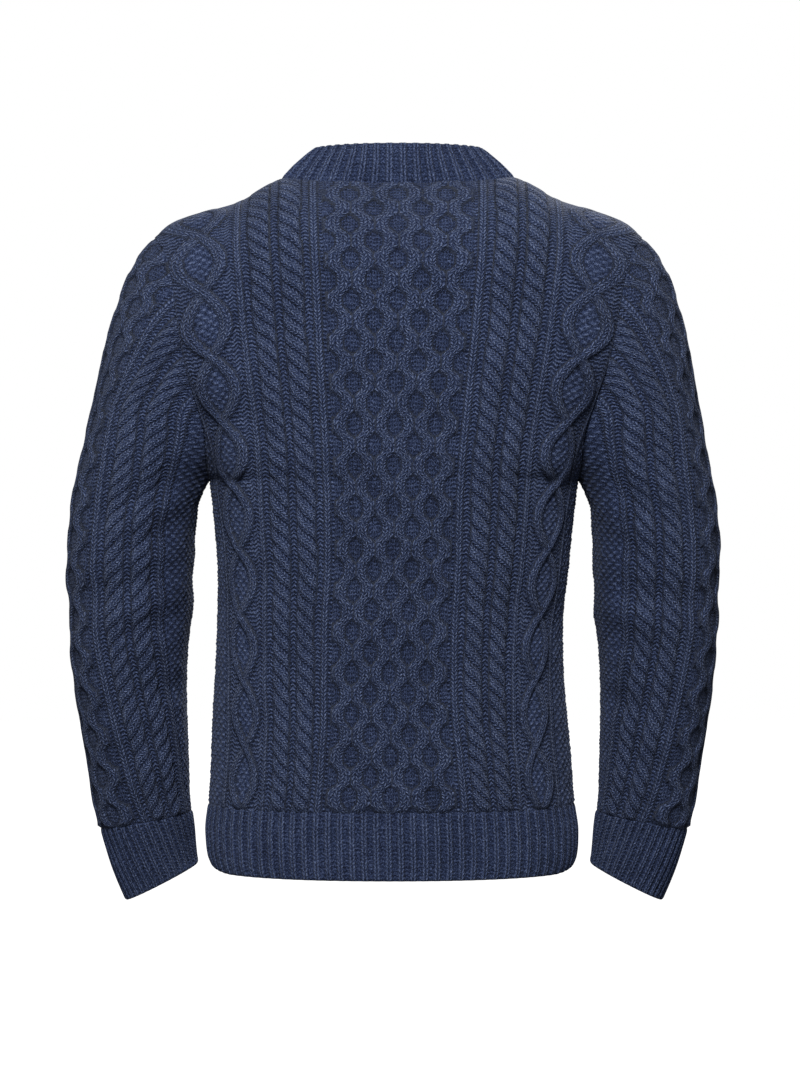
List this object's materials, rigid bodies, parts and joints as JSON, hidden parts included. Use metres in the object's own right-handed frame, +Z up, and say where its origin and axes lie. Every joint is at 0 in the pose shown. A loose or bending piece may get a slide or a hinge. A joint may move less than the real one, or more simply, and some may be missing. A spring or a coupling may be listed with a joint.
{
  "type": "cable knit sweater",
  "caption": "Long-sleeved crew-neck sweater in a heavy cable knit with ribbed collar, cuffs and hem, hollow and holding the form of a wearer.",
  "frame": {"origin": "middle of the neck opening, at the height of the two neck points where the shoulder seams meet the collar", "axes": "+Z up along the body, +Y out of the garment's back, -Y out of its front, +X to the wearer's left"},
  "size_m": [0.6218, 0.2505, 0.7156],
  "materials": {
    "knit": "heathered navy wool yarn, matte and slightly fuzzy"
  },
  "bodies": {
    "root": {"back": "knit", "front": "knit", "sleeve_left": "knit", "sleeve_right": "knit", "cuff_left": "knit", "cuff_right": "knit", "hem_back": "knit", "hem_front": "knit", "collar": "knit"}
  },
  "joints": []
}
